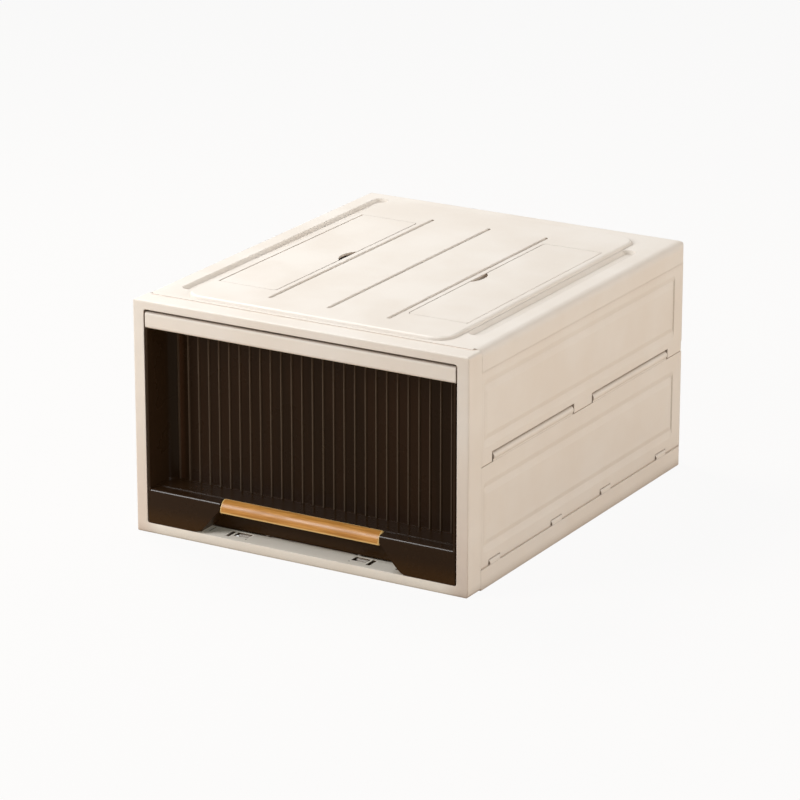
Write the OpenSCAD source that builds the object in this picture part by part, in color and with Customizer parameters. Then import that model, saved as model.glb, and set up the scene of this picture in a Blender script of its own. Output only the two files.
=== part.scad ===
// Stackable storage box: a folding shell of moulded panels round a pull-out drawer.
// Millimetres. The origin is on the floor under the middle of the box, the front faces -Y.

/* [Box] */
// Width over the front frame
box_w = 360; // [320:1:420]
// Depth from the front face to the rear skirt
box_d = 432; // [380:1:500]
// Height to the top of the front frame
frame_h = 230; // [200:1:280]

/* [Front frame] */
// Depth of the front frame
frame_depth = 24; // [20:0.5:30]
// Width of each side post
post_w = 12; // [10.5:0.1:15]
// Height of the top rail
top_rail_h = 8.5; // [7.5:0.1:12]
// Height of the sill, level with the drawer runners
sill_h = 10; // [9:0.1:13]
// Corner radius of the drawer mouth
mouth_r = 2.4; // [1:0.1:2.5]
// Corner radius of the frame seen from the front
frame_r = 3; // [1:0.1:5]
// Radius of the frame's front edges
frame_edge_r = 1.6; // [0.8:0.1:2.5]
// Half the distance between the two latch sockets
latch_x = 64.5; // [45:0.5:72]
// How far the pair of latch sockets lies to the left of the middle
latch_shift = 6.5; // [0:0.5:8]

/* [Top panel] */
// How far the rim stands above the front frame
rim_step = 1; // [0.5:0.1:2]
// Thickness of the moulded top
top_t = 2.5; // [2:0.1:3]
// Height of the skirt
skirt_h = 22; // [19:0.5:27]
// Thickness of the skirt
skirt_t = 2.2; // [1.8:0.1:2.6]
// Radius of the long top edges
side_edge_r = 8; // [4:0.5:10]
// Radius of the rear top edge and of the rear corners
rear_edge_r = 6; // [3:0.5:8]
// Distance from the raised plateau to the sides of the box
plateau_side = 39; // [35:0.5:41]
// Distance from the plateau to the front and rear faces of the box
plateau_inset = 27; // [24.5:0.5:32]
// Height of the plateau above the rim
plateau_rise = 3; // [2:0.1:4]
// Corner radius of the plateau
plateau_r = 18; // [8:0.5:24]
// Depth of the two long channels below the rim
channel_depth = 3.5; // [2:0.1:4]
// Distance from the outer edge of a channel to the side of the box
channel_inset = 21; // [18:0.5:24]
// Distance from the left channel to the front face
left_channel_front = 48; // [40:1:70]
// Distance from the left channel to the rear face
left_channel_rear = 18; // [16:1:70]
// Distance from the right channel to the front face
right_channel_front = 59; // [40:1:70]
// Distance from the right channel to the rear face
right_channel_rear = 59; // [16:1:70]
// Width of a groove
groove_w = 4; // [2.5:0.1:5]
// Depth of a groove
groove_depth = 1.5; // [0.6:0.1:1.6]
// Distance from the outer grooves to the flaps
groove_side = 8; // [6:0.5:12]
// Distance from the grooves to the front face
groove_front = 55; // [50:1:80]
// Distance from the grooves to the rear face
groove_rear = 70; // [50:1:80]
// How far the top's front lip reaches over the front frame
front_lip = 3; // [2:0.1:4]

/* [Top flaps] */
// Distance from a flap's hinge axis to the side of the plateau
flap_side = 8; // [7:0.5:12]
// Width of a flap, up to its hinge axis
flap_w = 61; // [50:0.5:66]
// Length of a flap
flap_l = 264; // [200:1:290]
// Thickness of a flap
flap_t = 2.4; // [2.2:0.1:2.8]
// Clearance at the ends and the hinge edge of a flap
flap_gap = 0.3; // [0.25:0.05:0.6]
// Clearance along the finger edge of a flap
finger_gap = 0.8; // [0.5:0.1:1.6]
// How far the flaps lie in front of the middle
flap_shift = 5.5; // [0:0.5:8]
// Radius of a flap's corners at its finger edge
flap_r = 3; // [1:0.1:5]
// Length of the finger notch
notch_l = 33; // [26:0.5:44]
// Depth of the finger notch
notch_d = 6.5; // [5:0.5:10]

/* [Side walls] */
// Depth of a wall panel from its outer face to its inner edge
panel_t = 8; // [6.5:0.1:8.8]
// Thickness of a panel's skin and flanges
skin_t = 2.2; // [1.8:0.1:2.6]
// How far the flat skin lies inside the side of the box
skin_inset = 1.4; // [1.25:0.05:2]
// Depth of the shallow groove that frames each field
field_dip = 1.2; // [0.6:0.1:1.2]
// Width of that groove along the long edges of a field
field_slope_z = 13; // [9:0.5:14]
// Width of that groove along the short edges of a field
field_slope_y = 6.5; // [4:0.5:9]
// Outer corner radius of that groove
field_r = 4; // [2:0.5:8]
// Radius of the knuckles at mid height
knuckle_r = 4.3; // [3.8:0.1:4.4]
// Clearance over the lower half's knuckles
knuckle_rise = 1.4; // [0.4:0.1:1.7]
// Radius of the rods through the knuckles
rod_r = 1.5; // [1:0.1:2]
// Radius of the small hinge pins
pin_r = 1.2; // [0.9:0.05:1.3]

/* [Base] */
// Height of the base's edge
base_h = 19.5; // [16:0.5:24]
// Height of the floor plate, which leaves room for the plateau of a box below
nest_h = 5; // [4.8:0.1:5.4]
// Thickness of the floor plate
floor_t = 2.5; // [2:0.1:3]
// Thickness of the base's walls
base_t = 2.2; // [1.8:0.1:2.6]
// Width of a base hinge tab
tab_w = 20.5; // [14:0.5:26]

/* [Drawer] */
// Side clearance of the drawer in the frame
drawer_gap = 1.5; // [1:0.1:2]
// Height of the drawer above the runners
drawer_lift = 0.3; // [0.2:0.05:0.5]
// Clearance over the drawer's top rail
bar_gap = 2.5; // [1.5:0.1:4]
// Wall thickness of the bin
bin_t = 2.2; // [1.8:0.1:2.6]
// Distance from the bin's rear wall to the rear face of the box
rear_room = 16; // [14:0.5:24]
// Rear corner radius of the bin
bin_r = 12; // [6:0.5:20]
// Depth of the recess in front of the ribbed wall
recess_d = 36.5; // [32:0.5:44]
// Radius where the ribbed wall meets the cheeks
cheek_r = 11; // [4:0.5:16]
// Distance between ribs
rib_pitch = 11.4; // [9:0.1:20]
// Width of a rib at its root
rib_w = 2.4; // [1.6:0.1:3]
// Height of a rib
rib_out = 1.4; // [0.8:0.1:2]
// Height of the ledge
ledge_z = 44.5; // [40:0.5:52]
// Radius of the ledge's front edge
ledge_r = 3; // [2.4:0.1:5]
// Depth of the lower front band of the ledge
ledge_band = 12; // [11.5:0.5:16]
// Height of the drawer's top rail
bar_h = 15.7; // [13:0.1:20]
// Edge radius of the drawer's top rail
bar_r = 2.5; // [1.5:0.1:3.5]
// How far the drawer slides out
travel = 335; // [250:1:360]

/* [Finger scoop and handle] */
// How far the scoop reaches past each end of the handle strip, at the strip's lower edge
scoop_margin = 2.75; // [1:0.25:5]
// How much further the scoop reaches on each side at its foot
scoop_flare = 20.5; // [10:0.5:25]
// Depth of the scoop
scoop_d = 26; // [19:0.5:28]
// Radius of the skirt's corners beside the scoop
scoop_r = 14; // [4:0.5:16]
// Length of the handle strip
handle_l = 173; // [140:0.5:190]
// Height of the handle strip
handle_h = 12; // [10:0.1:14]
// Depth of the handle strip
handle_d = 10; // [9:0.1:11]
// Thickness of the handle strip
handle_t = 2.5; // [1.8:0.1:3]
// How far the handle strip stands above the ledge
handle_up = 1.5; // [0.8:0.1:2.2]

/* [Hidden] */
$fn = 64;

// Overrun of every cut past the surface that it opens, and the thin slice that a blend starts from.
over = 1;
film = 0.05;
// Segments of the rounded corners inside a blend.
blend_fn = 32;

// Colours.
cream = [0.94, 0.90, 0.84];
cream_dark = [0.90, 0.86, 0.79];
smoke_brown = [0.17, 0.12, 0.08];
honey = [0.80, 0.60, 0.32];
steel = [0.72, 0.73, 0.75];

// Clearances: between fixed panels, of a rod or pin in its bore, and between knuckles end to end.
seat_gap = 0.3;
pin_play = 0.05;
knuckle_gap = 2.4;

// The box's main planes.
half_w = box_w / 2;
front_y = -box_d / 2;
rear_y = box_d / 2;
frame_back_y = front_y + frame_depth;
rim_z = frame_h + rim_step;
rim_under_z = rim_z - top_t;
skirt_z = rim_z - skirt_h;
plateau_z = rim_z + plateau_rise;
plateau_under_z = plateau_z - top_t;
channel_z = rim_z - channel_depth;
channel_under_z = channel_z - skirt_t;

// Hinge lines of the side walls: base, mid height and top, one above the other.
pin_wall = 1.1;
lug_r = pin_r + pin_wall;
ear_headroom = 3.9;
base_axis_z = base_h + seat_gap + lug_r;
top_axis_z = rim_under_z - ear_headroom - lug_r;
mid_axis_z = (base_axis_z + top_axis_z) / 2;
axis_x = half_w - skirt_t - seat_gap - lug_r;
plateau_x = half_w - plateau_side;

// Panel planes.
skin_x = half_w - skin_inset;
panel_in_x = skin_x - panel_t;
panel_y0 = frame_back_y + seat_gap;
panel_y1 = rear_y - skin_inset;
panel_l = panel_y1 - panel_y0;
lower_z0 = base_h + seat_gap;
lower_z1 = mid_axis_z - knuckle_r - seat_gap;
upper_z0 = mid_axis_z + knuckle_r + knuckle_rise;
upper_z1 = skirt_z - seat_gap;

// Hinge tabs, knuckles and ears along a panel, as shares of the panel's length from its front end.
tab_shares = [0.0675, 0.363, 0.608, 0.896];
knuckle_shares = [0, 0.057, 0.442, 0.536, 0.922, 1];
ear_shares = [0.09, 0.36, 0.63, 0.90];
ear_w = 16;
tab_gap = 0.5;
lug_l = 9;
pin_bite = 7.5;
relief_r = 1.1;
knuckle_crease = 0.2;
knuckle_foot_r = 1;

// Margins of the fields on the half panels and the back, and the place of the groove's bottom along
// its long and its short edges.
field_front = 6.5;
field_rear = 17.3;
lower_field_low = 13.2;
lower_field_high = 15.5;
upper_field_low = 7;
upper_field_high = 8.7;
back_field_margin = 24;
dip_share = 0.42;
wall_share = 0.12;
panel_ribs = 3;

// Hanging of the back panel and the front frame under the top.
back_x = panel_in_x - seat_gap;
back_axis_y = rear_y - skirt_t - seat_gap - lug_r;
back_ear_inset = 68;
back_ear_x = half_w - back_ear_inset;
pivot_inset = 80;
pivot_x = half_w - pivot_inset;
pivot_r = 3;
pivot_axis_y = frame_back_y + seat_gap + pivot_r + pin_wall;
pivot_axis_z = rim_under_z - seat_gap - pivot_r;
pivot_lug_w = 14;
pivot_ear_w = 5;

// Sill: the latch sockets with a slit and a vent beside each, the two outer slots, and the tongues of
// the base that hook into the sockets.
frame_wall = 2.2;
latch_left = -latch_shift - latch_x;
latch_right = -latch_shift + latch_x;
socket_w = 16;
socket_d = 10;
socket_margin = 3;
socket_y = frame_back_y - socket_margin - socket_d / 2;
slit_w = 4;
slit_l = 14;
slit_gap = 2.2;
vent_r = 0.8;
slot_x = 102;
slot_w = 1.5;
slot_l = 13;
sill_t = 2;
tongue_w = 12;
tongue_t = 2.2;
tongue_root = 11;
hook_t = 3;
hook_sink = 1.2;

// Base: curbs, runners and the ribs under the floor plate.
curb_gap = 2;
curb_rear_gap = 4;
runner_w = 3;
runner_shares = [0.28, 0.78];
base_lip_x = 46;
base_lip_t = 1.2;
grid_w = 1.8;
grid_drop = 1.4;
grid_x_count = 6;
grid_y_count = 7;

// Drawer.
mouth_x = half_w - post_w;
bin_x = mouth_x - drawer_gap;
bin_z0 = sill_h + drawer_lift;
bar_z1 = frame_h - top_rail_h - bar_gap;
bar_z0 = bar_z1 - bar_h;
bar_t = 2.5;
bar_d = 8;
bin_z1 = bar_z1 - bar_t - 2 * seat_gap;
bin_back_y = rear_y - rear_room;
curb_in_x = bin_x + curb_gap;
curb_back_y = bin_back_y + curb_rear_gap;
ribbed_y = front_y + recess_d;
rim_bead = 3;
ledge_step = 0.7;
stop_l = 12;
stop_rise = 8;
stop_spare = 0.7;
rib_tip_share = 0.45;
rib_pairs = floor((bin_x - bin_t - cheek_r / 2) / rib_pitch + 1 / 2);

// Handle strip, the beam that carries it and the scoop under it.
handle_z1 = ledge_z + handle_up;
handle_z0 = handle_z1 - handle_h;
handle_flat = 1;
handle_r = handle_d - handle_flat;
handle_end_r = 1.2;
handle_gap = 0.1;
scoop_high_x = handle_l / 2 + scoop_margin;
scoop_low_x = scoop_high_x + scoop_flare;
scoop_slope = scoop_flare / (handle_z0 - bin_z0);

// Top flaps, each with a barrel along its hinge edge.
barrel_r = flap_t / 2;
stub_r = 0.7;
flap_axis_x = plateau_x - flap_side;
flap_axis_z = plateau_z - barrel_r;
flap_x = flap_axis_x - flap_w;
flap_z0 = plateau_z - flap_t;
flap_outer_x = flap_axis_x + barrel_r;
flap_half_l = flap_l / 2;
groove_x = flap_x - groove_side;
lip_w = 3;
lip_t = 2.1;
stub_l = 4;
boss_l = 6;
notch_arc_r = (notch_l * notch_l / 4 + notch_d * notch_d) / (2 * notch_d);

// A profile drawn as X and Z, carried from y0 to y1.
module along_y(y0, y1) {
    translate([0, y1, 0])
        rotate([90, 0, 0])
            linear_extrude(y1 - y0)
                children();
}

// A profile drawn as Y and Z, carried from x0 to x1.
module along_x(x0, x1) {
    translate([x0, 0, 0])
        rotate([90, 0, 90])
            linear_extrude(x1 - x0)
                children();
}

// A profile drawn as X and Y, carried from z0 to z1.
module along_z(z0, z1) {
    translate([0, 0, z0])
        linear_extrude(z1 - z0)
            children();
}

module box(x0, x1, y0, y1, z0, z1) {
    translate([x0, y0, z0])
        cube([x1 - x0, y1 - y0, z1 - z0]);
}

module rect(a0, a1, b0, b1) {
    translate([a0, b0])
        square([a1 - a0, b1 - b0]);
}

// A rectangle with four round corners.
module round_rect(a0, a1, b0, b1, r) {
    rect(a0 + r, a1 - r, b0, b1);
    rect(a0, a1, b0 + r, b1 - r);
    for (a = [a0 + r, a1 - r], b = [b0 + r, b1 - r])
        translate([a, b])
            circle(r);
}

// The same with its two lower corners square.
module dome_rect(a0, a1, b0, b1, r) {
    round_rect(a0, a1, b0, b1, r);
    rect(a0, a1, b0, b1 - r);
}

// The same with only its first upper corner round, as a nose seen from the side.
module nose(a0, a1, b0, b1, r) {
    rect(a0 + r, a1, b0, b1);
    rect(a0, a1, b0, b1 - r);
    intersection() {
        rect(a0, a1, b0, b1);
        translate([a0 + r, b1 - r])
            circle(r);
    }
}

// An eye of radius r round the place (a, b), with a straight shank from there to the height b_to.
module eye(a, b, r, b_to) {
    translate([a, b])
        circle(r);
    rect(a - r, a + r, min(b, b_to), max(b, b_to));
}

// A rod along Y or X with its middle line through the given place.
module rod_y(x, z, y0, y1, r) {
    translate([x, y1, z])
        rotate([90, 0, 0])
            cylinder(h = y1 - y0, r = r);
}

module rod_x(y, z, x0, x1, r) {
    translate([x0, y, z])
        rotate([0, 90, 0])
            cylinder(h = x1 - x0, r = r);
}

// The children and their mirror image on the other side of the middle.
module both_sides() {
    children();
    mirror([1, 0, 0])
        children();
}

// Outline of a field's frame at one depth: shrunk from the outer edge towards the face by one share at
// the short edges, one at the lower edge and one at the upper edge.
module field_outline(y0, y1, z0, z1, end_share, low_share, high_share) {
    round_rect(y0 + end_share * field_slope_y, y1 - end_share * field_slope_y,
        z0 + low_share * field_slope_z, z1 - high_share * field_slope_z,
        field_r * (1 - high_share / 2), $fn = blend_fn);
}

// The groove that frames a field on the X face at x, as what it takes away. Its bottom lies nearer to
// its upper edge, both above and below the field, and close to its outer edge at the short ends.
module field_groove(x, y0, y1, z0, z1) {
    bottom_x = x - field_dip;
    difference() {
        hull() {
            along_x(x, x + film)
                field_outline(y0, y1, z0, z1, 0, 0, 0);
            along_x(bottom_x, bottom_x + film)
                field_outline(y0, y1, z0, z1, wall_share, 1 - dip_share, dip_share);
        }
        hull() {
            along_x(bottom_x - film, bottom_x)
                field_outline(y0, y1, z0, z1, wall_share, 1 - dip_share, dip_share);
            along_x(x + film, x + 2 * film)
                field_outline(y0, y1, z0, z1, 1, 1, 1);
        }
    }
}

function along_panel(share) = panel_y0 + share * panel_l;

// Half of a side wall: skin, flanges, ribs inside and the framed field.
module half_panel(z0, z1, field_low, field_high) {
    difference() {
        box(panel_in_x, skin_x, panel_y0, panel_y1, z0, z1);
        difference() {
            box(panel_in_x - over, skin_x - skin_t, panel_y0 + skin_t, panel_y1 - skin_t,
                z0 + skin_t, z1 - skin_t);
            for (i = [1 : panel_ribs])
                translate([0, panel_y0 + i * panel_l / (panel_ribs + 1), 0])
                    box(panel_in_x, half_w, -skin_t / 2, skin_t / 2, z0, z1);
        }
        field_groove(skin_x, panel_y0 + field_front, panel_y1 - field_rear, z0 + field_low, z1 - field_high);
    }
}

// Where the knuckles of one half lie along the panel, every second place from the given one.
module knuckle_places(first) {
    for (i = [first : 2 : len(knuckle_shares) - 2])
        along_y(along_panel(knuckle_shares[i]) + knuckle_gap / 2,
            along_panel(knuckle_shares[i + 1]) - knuckle_gap / 2)
            children();
}

// The lower half's knuckles: long beads that stand out a little, on shanks that end inside the flange.
module lower_knuckles() {
    knuckle_places(1) {
        translate([axis_x, mid_axis_z])
            circle(knuckle_r);
        rect(axis_x - knuckle_r, skin_x - knuckle_crease, lower_z1 - skin_t / 2, mid_axis_z);
    }
}

// The upper half's knuckles: level with the skin, with a soft lower edge.
module upper_knuckles() {
    foot_z = mid_axis_z - knuckle_r;
    knuckle_places(0) {
        rect(axis_x - knuckle_r, skin_x, mid_axis_z, upper_z0 + skin_t / 2);
        round_rect(axis_x - knuckle_r, skin_x, foot_z, upper_z0, knuckle_foot_r);
    }
}

// Small round reliefs at both feet of every base tab.
module tab_reliefs() {
    for (share = tab_shares, side = [-1, 1])
        rod_x(along_panel(share) + side * tab_w / 2, lower_z0 + relief_r, panel_in_x - over, half_w + over,
            relief_r);
}

module right_lower_half() {
    difference() {
        union() {
            half_panel(lower_z0, lower_z1, lower_field_low, lower_field_high);
            lower_knuckles();
            for (share = tab_shares, side = [-1, 1])
                translate([0, along_panel(share) + side * (tab_w + lug_l) / 2, 0])
                    box(panel_in_x, skin_x, -lug_l / 2, lug_l / 2, lower_z0, lower_z0 + 2 * lug_r);
        }
        tab_reliefs();
        for (share = tab_shares) {
            y = along_panel(share);
            box(panel_in_x - over, half_w + over, y - tab_w / 2 - tab_gap, y + tab_w / 2 + tab_gap,
                lower_z0 - over, base_axis_z + lug_r + tab_gap);
            rod_y(axis_x, base_axis_z, y - tab_w / 2 - pin_bite, y + tab_w / 2 + pin_bite,
                pin_r + pin_play);
        }
        rod_y(axis_x, mid_axis_z, panel_y0 - over, panel_y1 + over, rod_r + pin_play);
    }
}

// The upper half carries a leaf that reaches up behind the skirt to the top hinge.
module right_upper_half() {
    leaf_y1 = rear_y - rear_edge_r - seat_gap;
    difference() {
        union() {
            half_panel(upper_z0, upper_z1, upper_field_low, upper_field_high);
            upper_knuckles();
            along_y(panel_y0 + skirt_t, leaf_y1)
                eye(axis_x, top_axis_z, lug_r, upper_z1 - skin_t / 2);
        }
        for (share = ear_shares) {
            y = along_panel(share);
            box(panel_in_x, half_w, y - ear_w / 2 - tab_gap, y + ear_w / 2 + tab_gap,
                top_axis_z - lug_r - tab_gap, rim_z);
            rod_y(axis_x, top_axis_z, y - ear_w / 2 - pin_bite, y + ear_w / 2 + pin_bite,
                pin_r + pin_play);
        }
        rod_y(axis_x, mid_axis_z, panel_y0 - over, panel_y1 + over, rod_r + pin_play);
    }
}

module right_lower_panel() {
    color(cream_dark) right_lower_half();
}

module left_lower_panel() {
    color(cream_dark) mirror([1, 0, 0]) right_lower_half();
}

module right_upper_panel() {
    color(cream_dark) right_upper_half();
}

module left_upper_panel() {
    color(cream_dark) mirror([1, 0, 0]) right_upper_half();
}

module mid_rod() {
    rod_y(axis_x, mid_axis_z, panel_y0 + knuckle_gap, panel_y1 - knuckle_gap, rod_r);
}

module right_mid_hinge_rod() {
    color(steel) mid_rod();
}

module left_mid_hinge_rod() {
    color(steel) mirror([1, 0, 0]) mid_rod();
}

// Short pins through a row of tabs or ears of width w, at the height z.
module pin_row(shares, w, z) {
    end_play = pin_bite - seat_gap;
    for (share = shares)
        rod_y(axis_x, z, along_panel(share) - w / 2 - end_play,
            along_panel(share) + w / 2 + end_play, pin_r);
}

module right_lower_hinge_pins() {
    color(steel) pin_row(tab_shares, tab_w, base_axis_z);
}

module left_lower_hinge_pins() {
    color(steel) mirror([1, 0, 0]) pin_row(tab_shares, tab_w, base_axis_z);
}

module right_upper_hinge_pins() {
    color(steel) pin_row(ear_shares, ear_w, top_axis_z);
}

module left_upper_hinge_pins() {
    color(steel) mirror([1, 0, 0]) pin_row(ear_shares, ear_w, top_axis_z);
}

// Rear wall, hung from two ears under the top. Its leaf reaches up behind the skirt.
module back_panel() {
    back_in_y = panel_y1 - panel_t;
    field_x = back_x - back_field_margin;
    color(cream_dark)
    difference() {
        union() {
            box(-back_x, back_x, back_in_y, panel_y1, lower_z0, upper_z1);
            along_x(-back_x, back_x)
                eye(back_axis_y, top_axis_z, lug_r, upper_z1 - skin_t / 2);
        }
        difference() {
            box(-back_x + skin_t, back_x - skin_t, back_in_y - over, panel_y1 - skin_t,
                lower_z0 + skin_t, upper_z1 - skin_t);
            for (x = [-back_x / 2, 0, back_x / 2])
                box(x - skin_t / 2, x + skin_t / 2, back_in_y, rear_y, lower_z0, upper_z1);
            box(-back_x, back_x, back_in_y, rear_y, mid_axis_z - skin_t / 2, mid_axis_z + skin_t / 2);
        }
        for (z = [lower_z0, mid_axis_z])
            translate([0, panel_y1, 0])
                rotate([0, 0, 90])
                    field_groove(0, -field_x, field_x, z + back_field_margin / 2,
                        z + mid_axis_z - lower_z0 - back_field_margin / 2);
        both_sides() {
            box(back_ear_x - ear_w / 2 - tab_gap, back_ear_x + ear_w / 2 + tab_gap,
                back_axis_y - lug_r - over, back_axis_y + lug_r + over,
                top_axis_z - lug_r - tab_gap, rim_z);
            rod_x(back_axis_y, top_axis_z, back_ear_x - ear_w / 2 - pin_bite,
                back_ear_x + ear_w / 2 + pin_bite, pin_r + pin_play);
        }
    }
}

module back_hinge_pins() {
    end_play = pin_bite - seat_gap;
    color(steel)
    both_sides()
        rod_x(back_axis_y, top_axis_z, back_ear_x - ear_w / 2 - end_play,
            back_ear_x + ear_w / 2 + end_play, pin_r);
}

// Outline with two round front corners, drawn as depth and height.
module front_round(a0, a1, r) {
    rect(front_y + r, frame_back_y, a0, a1);
    rect(front_y, frame_back_y, a0 + r, a1 - r);
    for (a = [a0 + r, a1 - r])
        translate([front_y + r, a])
            circle(r);
}

// Front frame: a rigid ring of hollow posts and rails, with the latch sockets in its sill.
module front_frame() {
    color(cream)
    difference() {
        union() {
            difference() {
                intersection() {
                    along_y(front_y, frame_back_y)
                        round_rect(-half_w, half_w, 0, frame_h, frame_r);
                    along_x(-half_w, half_w)
                        front_round(0, frame_h, frame_edge_r);
                    along_z(0, frame_h)
                        mirror([1, -1])
                            front_round(-half_w, half_w, frame_edge_r);
                }
                along_y(front_y - over, frame_back_y + over)
                    round_rect(-mouth_x, mouth_x, sill_h, frame_h - top_rail_h, mouth_r);
            }
            both_sides()
                along_x(pivot_x - pivot_lug_w / 2, pivot_x + pivot_lug_w / 2) {
                    translate([pivot_axis_y, pivot_axis_z])
                        circle(pivot_r);
                    rect(frame_back_y - over, pivot_axis_y, pivot_axis_z - pivot_r, pivot_axis_z + pivot_r);
                }
        }
        latch_socket(latch_left, -1);
        latch_socket(latch_right, 1);
        for (side = [-1, 1])
            sill_slot(side * slot_x - latch_shift / 2);
        both_sides() {
            post_pockets();
            rail_pockets();
            rod_x(pivot_axis_y, pivot_axis_z, pivot_x - pivot_lug_w, pivot_x + pivot_lug_w,
                pin_r + pin_play);
        }
    }
}

// Pockets in the back of a post, with ribs between them.
post_pocket_count = 4;

module post_pockets() {
    step = (frame_h - top_rail_h - sill_h) / post_pocket_count;
    for (i = [0 : post_pocket_count - 1])
        box(mouth_x + frame_wall, half_w - frame_wall, front_y + frame_wall, frame_back_y + over,
            sill_h + i * step + frame_wall / 2, sill_h + (i + 1) * step - frame_wall / 2);
}

// Pockets in the back of the top rail, clear of the pivot lugs.
module rail_pockets() {
    z0 = frame_h - top_rail_h + frame_wall;
    z1 = frame_h - frame_wall;
    lug_half = pivot_lug_w / 2 + frame_wall;
    box(frame_wall / 2, pivot_x - lug_half, front_y + frame_wall, frame_back_y + over, z0, z1);
    box(pivot_x + lug_half, mouth_x, front_y + frame_wall, frame_back_y + over, z0, z1);
}

// The socket that a tongue of the base hooks into: a pocket from behind, the hole, and on its outer
// side a slit, on its inner side a small vent.
module latch_socket(x, side) {
    slit_x = x + side * (socket_w / 2 + slit_gap + slit_w / 2);
    slit_y = frame_back_y - socket_margin - slit_l / 2;
    pocket_x0 = min(x - side * socket_w / 2, slit_x + side * slit_w / 2);
    pocket_x1 = max(x - side * socket_w / 2, slit_x + side * slit_w / 2);
    pocket_z1 = sill_h - sill_t;
    box(pocket_x0, pocket_x1, front_y + frame_wall, frame_back_y + over, frame_wall, pocket_z1);
    box(x - socket_w / 2, x + socket_w / 2, socket_y - socket_d / 2, socket_y + socket_d / 2,
        pocket_z1 - over, sill_h + over);
    box(slit_x - slit_w / 2, slit_x + slit_w / 2, slit_y - slit_l / 2, slit_y + slit_l / 2,
        pocket_z1 - over, sill_h + over);
    translate([x - side * socket_w / 2, slit_y - slit_l / 2 + vent_r, pocket_z1 - over])
        cylinder(h = sill_t + 2 * over, r = vent_r);
}

// A narrow slot that runs back from the middle of the sill.
module sill_slot(x) {
    y1 = frame_back_y - socket_margin / 2;
    box(x - slot_w / 2, x + slot_w / 2, y1 - slot_l, y1, sill_h - sill_t, sill_h + over);
}

module frame_pivot_pins() {
    reach = pivot_lug_w / 2 + pivot_ear_w;
    color(steel)
    both_sides()
        rod_x(pivot_axis_y, pivot_axis_z, pivot_x - reach, pivot_x + reach, pin_r);
}

// A block with soft long edges, a soft rear edge and round rear corners.
module soft_block(x, y0, y1, z0, z1, side_r, rear_r) {
    intersection() {
        along_y(y0, y1)
            dome_rect(-x, x, z0, z1, side_r);
        along_x(-x, x) {
            rect(y0, y1 - rear_r, z0, z1);
            rect(y0, y1, z0, z1 - rear_r);
            translate([y1 - rear_r, z1 - rear_r])
                circle(rear_r);
        }
        along_z(z0, z1)
            mirror([1, -1]) {
                rect(y0, y1 - rear_r, -x, x);
                rect(y0, y1, rear_r - x, x - rear_r);
                for (side = [-1, 1])
                    translate([y1 - rear_r, side * (x - rear_r)])
                        circle(rear_r);
            }
    }
}

// The plateau: a steep foot and a soft shoulder under a flat top.
plateau_y = rear_y - plateau_inset;
plateau_foot = 1.5;
plateau_shoulder = 1.6;
shoulder_share = 0.65;

module plateau() {
    hull() {
        plateau_slice(rim_z - film, plateau_foot);
        plateau_slice(rim_z + shoulder_share * plateau_rise, plateau_foot * (1 - shoulder_share) / 2);
        plateau_slice(plateau_z - film, -plateau_shoulder);
    }
}

module plateau_slice(z, grow) {
    x = plateau_x + grow;
    y = plateau_y + grow;
    along_z(z, z + film)
        round_rect(-x, x, -y, y, plateau_r + grow, $fn = blend_fn);
}

// The lip that covers the seam between the top and the front frame.
lip_gap = 0.1;
lip_edge_share = 0.8;

module front_lip_bar() {
    along_x(side_edge_r - half_w, half_w - side_edge_r)
        nose(panel_y0 - front_lip, panel_y0 + skirt_t, frame_h + lip_gap, rim_z, lip_edge_share * rim_step);
}

// A long channel between the plateau and the rim, with walls that slope by 45 degrees.
channel_floor_r = 4;
channel_foot = 2;

module channel(y0, y1) {
    x0 = plateau_x + channel_foot;
    x1 = half_w - channel_inset;
    hull() {
        along_z(channel_z, channel_z + film)
            round_rect(x0 + channel_depth, x1 - channel_depth, y0 + channel_depth, y1 - channel_depth,
                channel_floor_r, $fn = blend_fn);
        along_z(rim_z, rim_z + film)
            round_rect(x0, x1, y0, y1, channel_floor_r + channel_depth, $fn = blend_fn);
    }
}

// Places of the channel with that side's two distances.
module channels() {
    channel(front_y + right_channel_front, rear_y - right_channel_rear);
    mirror([1, 0, 0])
        channel(front_y + left_channel_front, rear_y - left_channel_rear);
}

// A long groove in the plateau, with sloping walls and round ends.
groove_floor_share = 0.3;

module groove() {
    floor_z = plateau_z - groove_depth;
    hull() {
        along_z(floor_z, floor_z + film)
            groove_plan(groove_w * groove_floor_share / 2);
        along_z(plateau_z, plateau_z + film)
            groove_plan(groove_w / 2);
    }
}

module groove_plan(r) {
    for (y = [front_y + groove_front + r, rear_y - groove_rear - r])
        translate([0, y])
            circle(r, $fn = blend_fn);
    rect(-r, r, front_y + groove_front + r, rear_y - groove_rear - r);
}

// Ribs under the plateau, clear of the windows.
rib_t = 1.8;
cross_rib_shares = [-1, -0.5, 0, 0.5, 1];
rib_bottom_z = rim_under_z - 3 * seat_gap - rib_t;

module top_ribs() {
    reach_y = plateau_y - plateau_r;
    for (x = [rib_t - groove_x, 0, groove_x - rib_t])
        box(x - rib_t / 2, x + rib_t / 2, -reach_y, reach_y, rib_bottom_z, plateau_under_z + film);
    for (share = cross_rib_shares)
        box(-groove_x, groove_x, share * reach_y - rib_t / 2, share * reach_y + rib_t / 2,
            rib_bottom_z, plateau_under_z + film);
}

// Plan of a flap from its finger edge to x1, grown by gap at its ends and by edge_gap at that edge.
module flap_plan(x1, gap, edge_gap) {
    x0 = flap_x - edge_gap;
    y = flap_half_l + gap;
    r = flap_r + gap;
    rect(x0 + r, x1, -y, y);
    rect(x0, x1, r - y, y - r);
    for (side = [-1, 1])
        translate([x0 + r, side * (y - r)])
            circle(r);
}

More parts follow.
